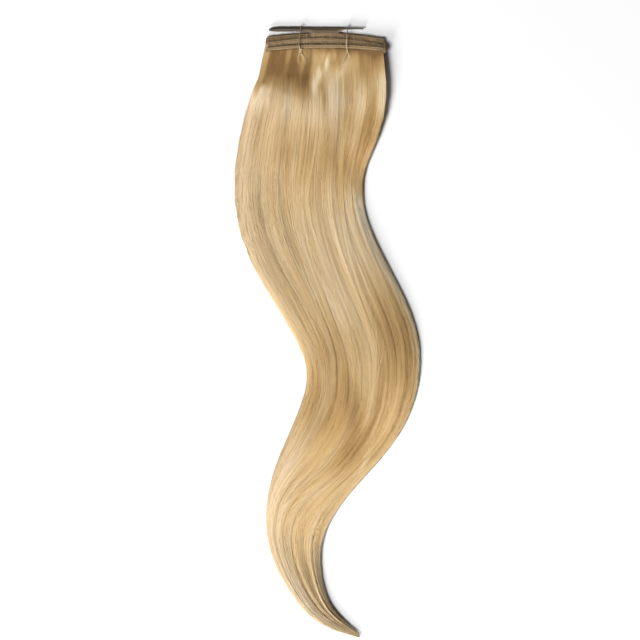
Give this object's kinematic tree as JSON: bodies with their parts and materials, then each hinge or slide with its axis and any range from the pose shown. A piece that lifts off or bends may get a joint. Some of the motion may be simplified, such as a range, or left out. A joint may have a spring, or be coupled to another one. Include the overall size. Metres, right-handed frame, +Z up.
{
  "type": "hair weft",
  "caption": "Long wavy blond hair weft lying flat: a sewn band folded into stacked courses and tied with thread, with its hair falling in locks to a curled tip.",
  "frame": {"origin": "middle of the part's box in X and Y, on the surface it lies on", "axes": "+X to the right across the band, +Y from the tips towards the band, +Z up from the surface"},
  "size_m": [0.1581, 0.5224, 0.011],
  "materials": {
    "hair": "soft sheen",
    "band": "matte",
    "thread": "matte"
  },
  "bodies": {
    "root": {"weft_band": "band", "rear_course": "band", "hair_fall_back": "hair", "hair_fall_middle": "hair", "hair_fall_front": "hair", "tie_left": "thread", "tie_right": "thread"}
  },
  "joints": []
}
